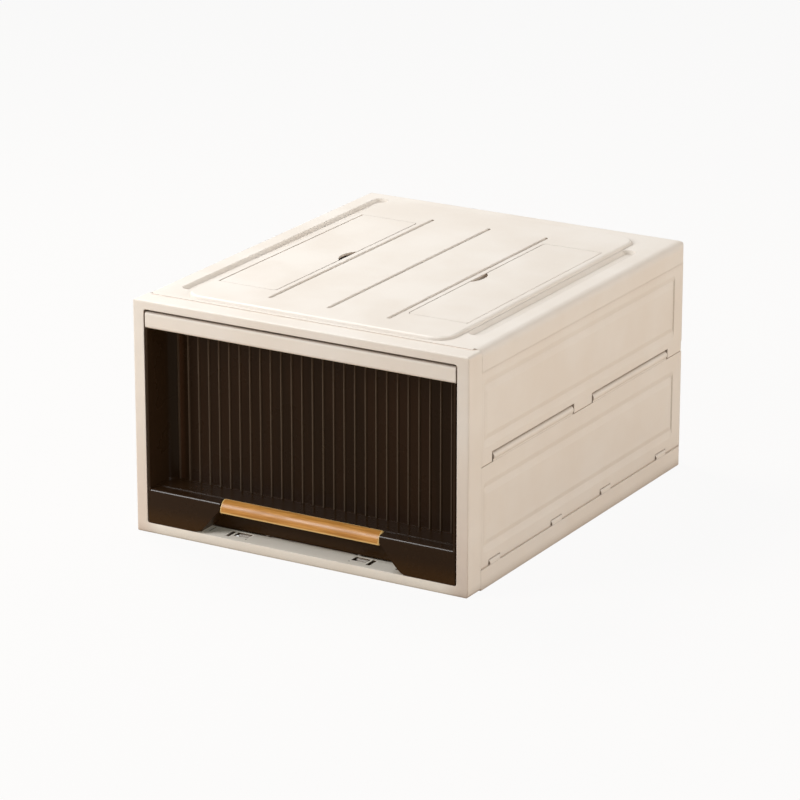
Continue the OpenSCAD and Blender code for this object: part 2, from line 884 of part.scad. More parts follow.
// The frame under a window: its lips carry the flap, its ends hold the hinge pins.
module window_frame() {
    box(flap_x - finger_gap - skirt_t, flap_outer_x + flap_gap + skirt_t,
        -flap_half_l - boss_l, flap_half_l + boss_l, flap_z0 - seat_gap - lip_t, plateau_under_z + film);
}

module window_cut() {
    seat_y = flap_half_l + flap_gap;
    along_z(flap_z0 - seat_gap, plateau_z + over)
        flap_plan(flap_outer_x + flap_gap, flap_gap, finger_gap);
    box(flap_x + lip_w, flap_axis_x - lip_w, lip_w - flap_half_l, flap_half_l - lip_w,
        rib_bottom_z, plateau_z);
    along_y(-seat_y, seat_y)
        translate([flap_axis_x, flap_axis_z])
            circle(barrel_r + seat_gap);
    rod_y(flap_axis_x, flap_axis_z, -seat_y - stub_l, seat_y + stub_l, stub_r + pin_play);
}

// Top: skirt, rim, plateau, channels and grooves, the two windows, and the ears that carry the walls.
module top_panel() {
    strip_x0 = plateau_x - skirt_t + film;
    strip_x1 = half_w - channel_inset + skirt_t;
    pocket_x = plateau_x - skirt_t;
    pocket_y = plateau_y - skirt_t;
    color(cream)
    difference() {
        union() {
            difference() {
                union() {
                    soft_block(half_w, panel_y0, rear_y, skirt_z, rim_z, side_edge_r, rear_edge_r);
                    plateau();
                    front_lip_bar();
                }
                difference() {
                    soft_block(half_w - skirt_t, panel_y0 - over, rear_y - skirt_t, skirt_z - over,
                        rim_under_z, side_edge_r - skirt_t, rear_edge_r - skirt_t);
                    box(strip_x0, strip_x1, front_y + right_channel_front - skirt_t,
                        rear_y - right_channel_rear + skirt_t, channel_under_z, rim_z);
                    box(-strip_x1, -strip_x0, front_y + left_channel_front - skirt_t,
                        rear_y - left_channel_rear + skirt_t, channel_under_z, rim_z);
                }
                along_z(rim_under_z - over, plateau_under_z)
                    round_rect(-pocket_x, pocket_x, -pocket_y, pocket_y, plateau_r - skirt_t);
                channels();
                for (x = [-groove_x, 0, groove_x])
                    translate([x, 0, 0])
                        groove();
            }
            top_ribs();
            both_sides() {
                translate([0, -flap_shift, 0])
                    window_frame();
                wall_ears();
                pivot_ears();
            }
        }
        both_sides() {
            translate([0, -flap_shift, 0])
                window_cut();
            for (share = ear_shares)
                rod_y(axis_x, top_axis_z, along_panel(share) - ear_w, along_panel(share) + ear_w,
                    pin_r + pin_play);
            rod_x(back_axis_y, top_axis_z, back_ear_x - ear_w, back_ear_x + ear_w, pin_r + pin_play);
            rod_x(pivot_axis_y, pivot_axis_z, pivot_x - pivot_lug_w, pivot_x + pivot_lug_w,
                pin_r + pin_play);
        }
    }
}

// Ears that hang from the top: four for a side wall and one for the back panel.
module wall_ears() {
    for (share = ear_shares)
        along_y(along_panel(share) - ear_w / 2, along_panel(share) + ear_w / 2)
            eye(axis_x, top_axis_z, lug_r, rim_under_z + film);
    along_x(back_ear_x - ear_w / 2, back_ear_x + ear_w / 2)
        eye(back_axis_y, top_axis_z, lug_r, rim_under_z + film);
}

// Ears on both sides of a pivot lug of the front frame.
module pivot_ears() {
    gap = pivot_lug_w / 2 + tab_gap;
    for (x = [pivot_x - gap - pivot_ear_w, pivot_x + gap])
        along_x(x, x + pivot_ear_w)
            eye(pivot_axis_y, pivot_axis_z, pivot_r, rim_under_z + top_t / 2);
}

// A flap: the plate with its round finger corners and notch, the barrel, and a bore at each end.
module flap() {
    translate([0, -flap_shift, 0])
        difference() {
            union() {
                along_z(flap_z0, plateau_z)
                    flap_plan(flap_axis_x, 0, 0);
                rod_y(flap_axis_x, flap_axis_z, -flap_half_l, flap_half_l, barrel_r);
            }
            translate([flap_x + notch_d - notch_arc_r, 0, flap_z0 - over])
                cylinder(h = flap_t + 2 * over, r = notch_arc_r);
            for (side = [-1, 1])
                translate([0, side * flap_half_l, 0])
                    rod_y(flap_axis_x, flap_axis_z, -stub_l - seat_gap, stub_l + seat_gap,
                        stub_r + pin_play);
        }
}

module flap_pins() {
    for (side = [-1, 1])
        translate([0, side * (flap_half_l + flap_gap / 2) - flap_shift, 0])
            rod_y(flap_axis_x, flap_axis_z, -stub_l, stub_l, stub_r);
}

module right_top_flap() {
    color(cream) flap();
}

module left_top_flap() {
    color(cream) mirror([1, 0, 0]) flap();
}

module right_flap_hinge_pins() {
    color(steel) flap_pins();
}

module left_flap_hinge_pins() {
    color(steel) mirror([1, 0, 0]) flap_pins();
}

// Base: hollow curbs round a ribbed floor plate, hinge tabs, and tongues for the sill's sockets.
module base_tray() {
    floor_z1 = nest_h + floor_t;
    color(cream_dark)
    difference() {
        union() {
            box(-curb_in_x, curb_in_x, panel_y0, curb_back_y, nest_h, floor_z1);
            both_sides() {
                box(curb_in_x, half_w, panel_y0, rear_y, 0, base_h);
                base_tabs();
                for (share = runner_shares)
                    translate([share * half_w, 0, 0])
                        box(-runner_w / 2, runner_w / 2, panel_y0, curb_back_y, nest_h, sill_h);
            }
            tongue(latch_left);
            tongue(latch_right);
            box(-base_lip_x, base_lip_x, panel_y0, panel_y0 + base_lip_t, nest_h, sill_h);
            box(-curb_in_x - film, curb_in_x + film, curb_back_y, rear_y, 0, base_h);
            floor_grid();
        }
        both_sides() {
            box(curb_in_x + base_t, half_w - base_t, panel_y0 + base_t, rear_y - base_t,
                -over, base_h - base_t);
            for (share = tab_shares)
                rod_y(axis_x, base_axis_z, along_panel(share) - tab_w, along_panel(share) + tab_w,
                    pin_r + pin_play);
            tab_reliefs();
        }
        box(-curb_in_x, curb_in_x, curb_back_y + base_t, rear_y - base_t, -over, base_h - base_t);
        along_z(-over, base_h + over)
            rear_corner_cut();
    }
}

// What lies outside the round rear corners.
module rear_corner_cut() {
    for (side = [-1, 1])
        difference() {
            translate([side * half_w, rear_y])
                square(2 * rear_edge_r, center = true);
            translate([side * (half_w - rear_edge_r), rear_y - rear_edge_r])
                circle(rear_edge_r);
        }
}

module base_tabs() {
    for (share = tab_shares)
        along_y(along_panel(share) - tab_w / 2, along_panel(share) + tab_w / 2)
            dome_rect(axis_x - lug_r, half_w - seat_gap, base_h - base_t, base_axis_z + lug_r, lug_r - film);
}

// A tongue from the floor plate into the sill, with a hook behind the socket's rear edge.
module tongue(x) {
    x0 = x - tongue_w / 2;
    x1 = x + tongue_w / 2;
    z0 = nest_h - grid_drop;
    root_y = panel_y0 + tongue_root;
    hook_y = socket_y + socket_d / 2 - seat_gap;
    box(x0, x1, hook_y - hook_t, root_y, z0, z0 + tongue_t);
    box(x0, x1, panel_y0, root_y, z0, nest_h + floor_t);
    box(x0, x1, hook_y - hook_t, hook_y, z0, sill_h - hook_sink);
}

// Stiffening ribs under the floor plate.
module floor_grid() {
    y_span = curb_back_y - panel_y0;
    for (i = [1 : grid_x_count])
        translate([-curb_in_x + i * 2 * curb_in_x / (grid_x_count + 1), 0, 0])
            box(-grid_w / 2, grid_w / 2, panel_y0, curb_back_y, nest_h - grid_drop, nest_h + film);
    for (i = [1 : grid_y_count])
        translate([0, panel_y0 + i * y_span / (grid_y_count + 1), 0])
            box(-curb_in_x, curb_in_x, -grid_w / 2, grid_w / 2, nest_h - grid_drop, nest_h + film);
}

// Outline of the bin seen from above, with round rear corners, shrunk by t.
module bin_plan(t) {
    x = bin_x - t;
    y = bin_back_y - t;
    r = bin_r - t;
    rect(-x, x, front_y, y - r);
    rect(r - x, x - r, front_y, y);
    for (side = [-1, 1])
        translate([side * (x - r), y - r])
            circle(r);
}

// The recessed wall with its ribs and the round corners at the cheeks.
module ribbed_plan() {
    rect(-bin_x, bin_x, ribbed_y, ribbed_y + bin_t);
    for (side = [-1, 1])
        mirror([side < 0 ? 1 : 0, 0])
            difference() {
                rect(bin_x - bin_t - cheek_r, bin_x - film, ribbed_y - cheek_r, ribbed_y + film);
                translate([bin_x - bin_t - cheek_r, ribbed_y - cheek_r])
                    circle(cheek_r);
            }
}

module rib_plan() {
    tip = rib_w * rib_tip_share;
    for (i = [1 : rib_pairs], side = [-1, 1])
        translate([side * (i - 1 / 2) * rib_pitch, ribbed_y])
            polygon([[-rib_w / 2, film], [-tip / 2, -rib_out], [tip / 2, -rib_out], [rib_w / 2, film]]);
}

// Outline of the scoop seen from the front, grown by t, up to the underside of the ledge.
module scoop_outline(t) {
    ledge_under_z = ledge_z - bin_t;
    top_x = scoop_low_x - scoop_slope * (ledge_under_z - bin_z0) + t;
    low_x = scoop_low_x + scoop_slope * over + t;
    low_z = bin_z0 - over;
    polygon([[-low_x, low_z], [low_x, low_z], [top_x, ledge_under_z], [-top_x, ledge_under_z]]);
}

// The round corners that the skirt has beside the scoop, as what they take away.
module scoop_corners() {
    angle = atan2(handle_z0 - bin_z0, scoop_flare);
    reach = scoop_r * tan(angle / 2);
    both_sides()
        difference() {
            polygon([[scoop_low_x, bin_z0], [scoop_low_x + reach, bin_z0 - over],
                [scoop_low_x + reach, bin_z0 + scoop_r],
                [scoop_low_x - reach * cos(angle), bin_z0 + reach * sin(angle)]]);
            translate([scoop_low_x + reach, bin_z0 + scoop_r])
                circle(scoop_r);
        }
}

// The bracket in front of the ribbed wall: ledge and skirt, with the scoop let into it.
module bracket() {
    back_y = front_y + scoop_d;
    difference() {
        union() {
            along_x(-bin_x + bin_t - film, bin_x - bin_t + film)
                difference() {
                    union() {
                        nose(front_y, ribbed_y + film, bin_z0, ledge_z, ledge_r);
                        rect(front_y + ledge_band, ribbed_y + film, bin_z0, ledge_z + ledge_step);
                    }
                    rect(front_y + bin_t, ribbed_y, bin_z0 - over, ledge_z - bin_t);
                }
            along_y(front_y + film, back_y + bin_t)
                intersection() {
                    scoop_outline(bin_t);
                    rect(-bin_x, bin_x, bin_z0, ledge_z - bin_t + film);
                }
        }
        along_y(front_y - over, back_y)
            scoop_outline(0);
        along_y(front_y - over, front_y + bin_t + over)
            scoop_corners();
        handle_seat();
    }
    handle_beam();
}

// The room for the handle strip, and the beam that it clips over.
module handle_seat() {
    x = handle_l / 2 + handle_gap;
    box(-x, x, front_y - over, front_y + handle_d + handle_gap, handle_z0 - handle_gap, handle_z1 + over);
}

module handle_beam() {
    t = handle_t + handle_gap;
    x = handle_l / 2 + handle_gap + film;
    along_x(-x, x)
        nose(front_y + t, front_y + ledge_band, handle_z0 + handle_gap, handle_z1 - t, handle_r - t);
}

module handle_strip() {
    color(honey)
    intersection() {
        along_x(-handle_l / 2, handle_l / 2)
            difference() {
                nose(front_y, front_y + handle_d, handle_z0, handle_z1, handle_r);
                nose(front_y + handle_t, front_y + handle_d + over, handle_z0 - over, handle_z1 - handle_t,
                    handle_r - handle_t);
            }
        along_y(front_y - over, front_y + handle_d + over)
            round_rect(-handle_l / 2, handle_l / 2, handle_z0, handle_z1, handle_end_r);
    }
}

// Drawer bin: walls, rim bead, floor, ribbed recessed front, bracket and the two stops.
module drawer_bin() {
    stop_y = frame_back_y + travel + stop_spare;
    color(smoke_brown)
    union() {
        difference() {
            along_z(bin_z0, bin_z1)
                difference() {
                    bin_plan(0);
                    translate([0, -over])
                        bin_plan(bin_t);
                    rect(bin_t - bin_x, bin_x - bin_t, front_y - over, front_y + over);
                }
            box(-half_w, half_w, front_y - over, front_y + bar_d + seat_gap, bar_z0 - seat_gap, frame_h);
        }
        along_z(bin_z0, bin_z1)
            ribbed_plan();
        along_z(ledge_z, bin_z1)
            rib_plan();
        along_z(bin_z0, bin_z0 + bin_t)
            intersection() {
                bin_plan(0);
                rect(-bin_x, bin_x, ribbed_y, bin_back_y);
            }
        along_z(bin_z1 - bin_t, bin_z1)
            difference() {
                intersection() {
                    bin_plan(0);
                    rect(-bin_x, bin_x, ribbed_y, bin_back_y);
                }
                bin_plan(rim_bead + bin_t);
            }
        both_sides()
            box(bin_x - bin_t, bin_x, stop_y, stop_y + stop_l, bin_z1 - over, bin_z1 + stop_rise);
        bracket();
    }
}

// Top rail of the drawer: a bar with a soft face, a lower lip, end caps and a plate back to the ribbed wall.
module drawer_top_rail() {
    back_y = ribbed_y + bin_t;
    color(cream)
    union() {
        along_x(-bin_x, bin_x)
            difference() {
                bar_outline(back_y);
                rect(front_y + bar_t, back_y + over, bar_z0 + bar_t, bar_z1 - bar_t);
                rect(front_y + bar_d, back_y + over, bar_z0 - over, bar_z1 - bar_t);
            }
        both_sides()
            along_x(bin_x - bar_t, bin_x)
                bar_outline(front_y + bar_d);
    }
}

module bar_outline(back_y) {
    rect(front_y + bar_r, back_y, bar_z0, bar_z1);
    rect(front_y, back_y, bar_z0 + bar_r, bar_z1 - bar_r);
    for (z = [bar_z0 + bar_r, bar_z1 - bar_r])
        translate([front_y + bar_r, z])
            circle(bar_r);
}

base_tray();
front_frame();
top_panel();
back_panel();
left_lower_panel();
right_lower_panel();
left_upper_panel();
right_upper_panel();
left_mid_hinge_rod();
right_mid_hinge_rod();
left_lower_hinge_pins();
right_lower_hinge_pins();
left_upper_hinge_pins();
right_upper_hinge_pins();
back_hinge_pins();
frame_pivot_pins();
drawer_bin();
drawer_top_rail();
handle_strip();
left_top_flap();
right_top_flap();
left_flap_hinge_pins();
right_flap_hinge_pins();
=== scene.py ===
import math

import bpy
import numpy as np
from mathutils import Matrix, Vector


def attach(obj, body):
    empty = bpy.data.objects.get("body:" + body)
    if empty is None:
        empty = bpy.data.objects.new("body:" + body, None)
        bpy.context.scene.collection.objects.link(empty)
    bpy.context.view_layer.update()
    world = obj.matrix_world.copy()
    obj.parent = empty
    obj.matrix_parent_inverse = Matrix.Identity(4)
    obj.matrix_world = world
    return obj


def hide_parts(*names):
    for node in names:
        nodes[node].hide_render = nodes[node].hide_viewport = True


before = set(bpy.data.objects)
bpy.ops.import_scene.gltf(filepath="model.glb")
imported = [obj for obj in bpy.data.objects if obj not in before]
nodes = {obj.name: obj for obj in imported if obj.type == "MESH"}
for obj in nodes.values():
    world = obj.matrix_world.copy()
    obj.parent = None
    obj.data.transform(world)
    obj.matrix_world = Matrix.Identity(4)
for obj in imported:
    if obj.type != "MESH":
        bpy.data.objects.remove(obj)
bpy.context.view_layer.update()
print("frame loaded:", len(nodes), "nodes")


# Small helpers for colours, meshes and shader nodes.

def srgb(red, green, blue):
    # An sRGB colour of 0 to 255 as the linear one that a shader takes
    c = np.array([red, green, blue]) / 255
    return tuple(np.where(c <= 0.04045, c / 12.92, ((c + 0.055) / 1.055) ** 2.4)) + (1.0,)


def addMesh(name, points, faces, smooth=True):
    mesh = bpy.data.meshes.new(name)
    mesh.from_pydata(points.reshape(-1, 3).tolist(), [], faces)
    mesh.polygons.foreach_set("use_smooth", np.full(len(mesh.polygons), smooth))
    mesh.validate()
    obj = bpy.data.objects.new(name, mesh)
    bpy.context.scene.collection.objects.link(obj)
    return obj


def tubeFaces(rows, cols):
    # Quads of a rows x cols grid of points whose last column joins the first
    r = np.arange(rows - 1)[:, None]
    c = np.arange(cols)[None, :]
    c2 = (c + 1) % cols
    quads = np.stack([r * cols + c, r * cols + c2, (r + 1) * cols + c2, (r + 1) * cols + c], axis=-1)
    return quads.reshape(-1, 4).tolist()


def paint(obj, material):
    obj.data.materials.clear()
    obj.data.materials.append(material)


def addNode(tree, kind, inputs=None, **settings):
    # A shader node; an input is set to a value, or linked where a socket is given
    node = tree.nodes.new(kind)
    for key, value in settings.items():
        setattr(node, key, value)
    for key, value in (inputs or {}).items():
        if isinstance(value, bpy.types.NodeSocket):
            tree.links.new(value, node.inputs[key])
        else:
            node.inputs[key].default_value = value
    return node


def calc(tree, operation, a, b=0.0, clamp=False):
    return addNode(tree, "ShaderNodeMath", {0: a, 1: b}, operation=operation, use_clamp=clamp).outputs[0]


def ramp(tree, value, low, high, toLow=0.0, toHigh=1.0):
    # The value between low and high as a smooth 0 to 1, or as toLow to toHigh
    node = addNode(tree, "ShaderNodeMapRange",
                   {"Value": value, "From Min": low, "From Max": high, "To Min": toLow, "To Max": toHigh},
                   interpolation_type="SMOOTHSTEP")
    return node.outputs["Result"]


def blend(tree, factor, a, b, mode="MIX"):
    node = addNode(tree, "ShaderNodeMix", data_type="RGBA", blend_type=mode)
    for key, value in ((0, factor), (6, a), (7, b)):
        if isinstance(value, bpy.types.NodeSocket):
            tree.links.new(value, node.inputs[key])
        else:
            node.inputs[key].default_value = value
    return node.outputs[2]


def noise(tree, vector, scale, detail, roughness=0.5):
    return addNode(tree, "ShaderNodeTexNoise", {"Vector": vector, "Scale": scale, "Detail": detail,
                                                "Roughness": roughness}).outputs[0]


# Camera, floor and light.

viewFrom = {
    "place": (1.8420, -3.1848, 1.3250),
    "azimuth": 30.276,
    "elevation": 18.44,
    "lens": 180.8,
    "sensorWidth": 36,
    "clipEnd": 50,
}


def addCamera(v):
    az, el = math.radians(v["azimuth"]), math.radians(v["elevation"])
    back = Vector((math.sin(az) * math.cos(el), -math.cos(az) * math.cos(el), math.sin(el)))
    data = bpy.data.cameras.new("camera")
    data.lens = v["lens"]
    data.sensor_width = v["sensorWidth"]
    data.clip_end = v["clipEnd"]
    camera = bpy.data.objects.new("camera", data)
    camera.location = v["place"]
    camera.rotation_euler = (-back).to_track_quat("-Z", "Y").to_euler()
    bpy.context.scene.collection.objects.link(camera)
    bpy.context.scene.camera = camera


studio = {
    "floorSize": 12.0,
    "floorDrop": 0.0002,
    "floorColour": (0.58, 0.48, 0.38, 1),  # what the object sees
    "floorWhite": 0.93,  # share of plain white that the camera sees
    "worldStrength": 0.20,
    "aim": (0, 0, 0.1),  # near the middle of the box
    "lamps": {
        # name: place, size, watts, colour
        "keyLamp": ((-0.9, -1.3, 1.0), 0.8, 17.8, (1, 1, 1)),
        "topLamp": ((-1.1, 0.3, 1.6), 0.9, 24.6, (1, 1, 1)),
        "sideLamp": ((1.8, -0.3, 0.75), 0.7, 11.6, (1, 0.94, 0.88)),
        "rearSideLamp": ((1.4, 1.1, 0.8), 0.7, 5.8, (1, 0.94, 0.88)),
    },
}


def addLamp(name, aim, place, size, watts, colour):
    data = bpy.data.lights.new(name, "AREA")
    data.shape = "DISK"
    data.size = size
    data.energy = watts
    data.color = colour
    lamp = bpy.data.objects.new(name, data)
    lamp.location = place
    lamp.rotation_euler = (Vector(aim) - Vector(place)).to_track_quat("-Z", "Y").to_euler()
    bpy.context.scene.collection.objects.link(lamp)


def addFloor(s):
    half, z = s["floorSize"] / 2, -s["floorDrop"]
    corners = np.array([[-half, -half, z], [half, -half, z], [half, half, z], [-half, half, z]])
    floor = addMesh("floor", corners, [[0, 1, 2, 3]], smooth=False)
    m = bpy.data.materials.new("floor")
    m.use_nodes = True
    tree = m.node_tree
    tree.nodes.clear()
    diffuse = addNode(tree, "ShaderNodeBsdfDiffuse", {"Color": s["floorColour"]})
    white = addNode(tree, "ShaderNodeEmission", {"Color": (1, 1, 1, 1), "Strength": 1.0})
    path = addNode(tree, "ShaderNodeLightPath")
    share = calc(tree, "MULTIPLY", path.outputs["Is Camera Ray"], s["floorWhite"])
    both = addNode(tree, "ShaderNodeMixShader", {0: share, 1: diffuse.outputs[0], 2: white.outputs[0]})
    addNode(tree, "ShaderNodeOutputMaterial", {"Surface": both.outputs[0]})
    paint(floor, m)


def addWorld(s):
    world = bpy.data.worlds.new("studio")
    world.use_nodes = True
    bpy.context.scene.world = world
    tree = world.node_tree
    path = addNode(tree, "ShaderNodeLightPath")
    seen = calc(tree, "MAXIMUM", path.outputs["Is Camera Ray"], path.outputs["Is Transmission Ray"])
    strength = addNode(tree, "ShaderNodeMix", {"Factor": seen, "A": s["worldStrength"], "B": 1.0},
                       data_type="FLOAT").outputs["Result"]
    background = tree.nodes["Background"]
    background.inputs["Color"].default_value = (1, 1, 1, 1)
    tree.links.new(strength, background.inputs["Strength"])


addCamera(viewFrom)
addFloor(studio)
addWorld(studio)
for name, lamp in studio["lamps"].items():
    addLamp(name, studio["aim"], *lamp)
bpy.context.scene.view_settings.view_transform = "Standard"
print("camera, floor and lamps placed")


# Shader groups that more than one material uses.

def newGroup(name, inputs, outputs):
    # A group tree with its sockets: name to kind, and for an input its value too
    tree = bpy.data.node_groups.new(name, "ShaderNodeTree")
    for key, (kind, value) in inputs.items():
        socket = tree.interface.new_socket(name=key, in_out="INPUT", socket_type=kind)
        socket.default_value = value
    for key, kind in outputs.items():
        tree.interface.new_socket(name=key, in_out="OUTPUT", socket_type=kind)
    return tree, tree.nodes.new("NodeGroupInput").outputs, tree.nodes.new("NodeGroupOutput").inputs


edgeMarks = {
    "samples": (5, 4),  # of the bevel, and of each shade
    "turned": (0.02, 0.25),  # 1 less the cosine between the rounded and the true normal
    "seamReach": 0.0006,
    "seamShade": (0.45, 0.15),  # open share, from no seam to a full one
}


def makeSoftEdge(d):
    # Rounds the shading over an edge, and gives masks of the edge, of the corners that light doesn't reach
    # and of the narrow seams, on which the materials paint a highlight, shade and a glow
    tree, given, out = newGroup(
        "softEdge",
        {"Radius": ("NodeSocketFloat", 0.0008), "Reach": ("NodeSocketFloat", 0.006)},
        {"Normal": "NodeSocketVector", "Edge": "NodeSocketFloat", "Crevice": "NodeSocketFloat",
         "Seam": "NodeSocketFloat"})
    bevelSamples, shadeSamples = d["samples"]
    bevel = addNode(tree, "ShaderNodeBevel", {"Radius": given["Radius"]}, samples=bevelSamples)
    geometry = addNode(tree, "ShaderNodeNewGeometry")
    normals = {0: bevel.outputs["Normal"], 1: geometry.outputs["True Normal"]}
    dot = addNode(tree, "ShaderNodeVectorMath", normals, operation="DOT_PRODUCT").outputs["Value"]
    turned = calc(tree, "SUBTRACT", 1.0, dot)
    shade = addNode(tree, "ShaderNodeAmbientOcclusion", {"Distance": given["Reach"]}, samples=shadeSamples)
    crevice = calc(tree, "SUBTRACT", 1.0, shade.outputs["AO"], clamp=True)
    tree.links.new(bevel.outputs["Normal"], out["Normal"])
    tree.links.new(ramp(tree, turned, *d["turned"]), out["Edge"])
    near = addNode(tree, "ShaderNodeAmbientOcclusion", {"Distance": d["seamReach"]}, samples=shadeSamples)
    tree.links.new(crevice, out["Crevice"])
    tree.links.new(ramp(tree, near.outputs["AO"], *d["seamShade"]), out["Seam"])
    return tree


grainShape = {
    # detail and roughness of each noise
    "fine": (2.0, 0.6),
    "slow": (4.0, 0.55),
    "speck": (3.0, 0.7),
    "speckScale": 420.0,
    "pitScale": 0.45,  # of the grain's scale
    "facing": (0.6, 1.0),  # Z of the normal, from no dust to all of it
    "specks": (0.52, 0.78),
    "heights": (0.7, 0.3),  # shares of grain and pits
}


def makeMoulded(d):
    # Fine grain of a moulded surface, its slow change of tone, and a trace of dust where it faces up
    tree, given, out = newGroup(
        "moulded",
        {"Grain": ("NodeSocketFloat", 1400.0), "Mottle": ("NodeSocketFloat", 16.0),
         "Dust": ("NodeSocketFloat", 0.3)},
        {"Height": "NodeSocketFloat", "Tone": "NodeSocketFloat", "Dust": "NodeSocketFloat"})
    place = addNode(tree, "ShaderNodeTexCoord").outputs["Object"]
    grain = noise(tree, place, given["Grain"], *d["fine"])
    pitScale = calc(tree, "MULTIPLY", given["Grain"], d["pitScale"])
    pits = addNode(tree, "ShaderNodeTexVoronoi", {"Vector": place, "Scale": pitScale})
    slow = noise(tree, place, given["Mottle"], *d["slow"])
    specks = noise(tree, place, d["speckScale"], *d["speck"])
    up = addNode(tree, "ShaderNodeSeparateXYZ",
                 {0: addNode(tree, "ShaderNodeNewGeometry").outputs["Normal"]}).outputs["Z"]
    dust = calc(tree, "MULTIPLY", ramp(tree, up, *d["facing"]), ramp(tree, specks, *d["specks"]))
    dust = calc(tree, "MULTIPLY", dust, given["Dust"])
    fineShare, pitShare = d["heights"]
    height = calc(tree, "ADD", calc(tree, "MULTIPLY", grain, fineShare),
                  calc(tree, "MULTIPLY", pits.outputs["Distance"], pitShare))
    tree.links.new(height, out["Height"])
    tree.links.new(slow, out["Tone"])
    tree.links.new(dust, out["Dust"])
    return tree


softEdge = makeSoftEdge(edgeMarks)
moulded = makeMoulded(grainShape)
toneSpan = (0.25, 0.75)  # of the slow change of tone, over which the roughness runs


def startMaterial(name):
    m = bpy.data.materials.new(name)
    m.use_nodes = True
    return m, m.node_tree, m.node_tree.nodes["Principled BSDF"].inputs


def placeGroup(tree, group, **values):
    node = tree.nodes.new("ShaderNodeGroup")
    node.node_tree = group
    for key, value in values.items():
        node.inputs[key].default_value = value
    return node.outputs


def stretch(tree, vector, scale):
    return addNode(tree, "ShaderNodeMapping", {"Vector": vector, "Scale": scale}).outputs[0]


def bumped(tree, height, normal, strength, distance):
    return addNode(tree, "ShaderNodeBump", {"Height": height, "Normal": normal, "Strength": strength,
                                            "Distance": distance}).outputs["Normal"]


# Cream plastic of the shell: satin, finely grained, with painted highlights on its edges, warmer painted
# shade in its corners and a painted glow in its seams.
shellLook = {
    "light": srgb(241, 234, 225),
    "dark": srgb(238, 229, 218),
    # painted highlight along the edges
    "edge": srgb(250, 245, 237),
    # painted shade in the corners and creases
    "crevice": srgb(132, 106, 80),
    # emission colours of a painted glow in the narrow seams
    "seam": srgb(128, 113, 96),
    "seamLow": srgb(176, 159, 140),  # along the foot and the head of the side walls
    "seamHigh": srgb(218, 207, 194),  # on the top
    "dust": srgb(222, 216, 206),
    "farEndShade": (0.80, 0.79, 0.77, 1),
    "tone": (0.3, 0.7),
    "edgeHighlightShare": 0.5,
    "creviceShade": (0.04, 0.60),
    "creviceShadeShare": 0.60,
    "wallX": 0.172,  # the side walls lie beyond it
    "footZ": (0.075, 0.055),  # over these two heights the painted seam glow turns into its paler tone
    "headZ": (0.190, 0.200),
    "topZ": 0.2265,
    "farY": 0.05,
    "steep": (-0.12, -0.35),  # Y of the normal, from level to a channel's end
    "roughness": (0.42, 0.52),
    "dustRoughness": 0.4,
    "creviceRoughness": 0.5,
    "bump": (0.16, 0.0002),  # strength and distance
    "specular": 0.4,
}

# Painted light and shade of the front frame only: painted shade grows warmer and deeper down its posts, a
# painted glow lies on the sill, and each latch socket has painted shade inside a rim with a painted glow.
frameLook = {
    # painted shade on the face of the posts, deepest at their foot
    "low": (0.92, 0.868, 0.84, 1),
    "postShadeZ": (0.17, 0.02),
    "faceY": -0.2153,
    "sillZ": 0.0097,
    "faceZ": (0.018, 0.007),  # over these heights the face of the posts turns into that of the sill
    "faceX": (0.177, 0.150),
    # painted glow on the face and top of the sill
    "paintedGlow": srgb(92, 91, 82),
    # painted glow on the rim of each latch socket
    "rim": srgb(74, 72, 66),
    # painted shade inside each latch socket
    "inside": srgb(96, 78, 58),
    "sockets": (-0.071, 0.058),  # x of their middles
    "socketY": -0.200,
    "socketHalf": (0.008, 0.005),
    "socketRim": 0.0014,
    "socketZone": 0.0140,  # half the width with the slit beside the socket
}


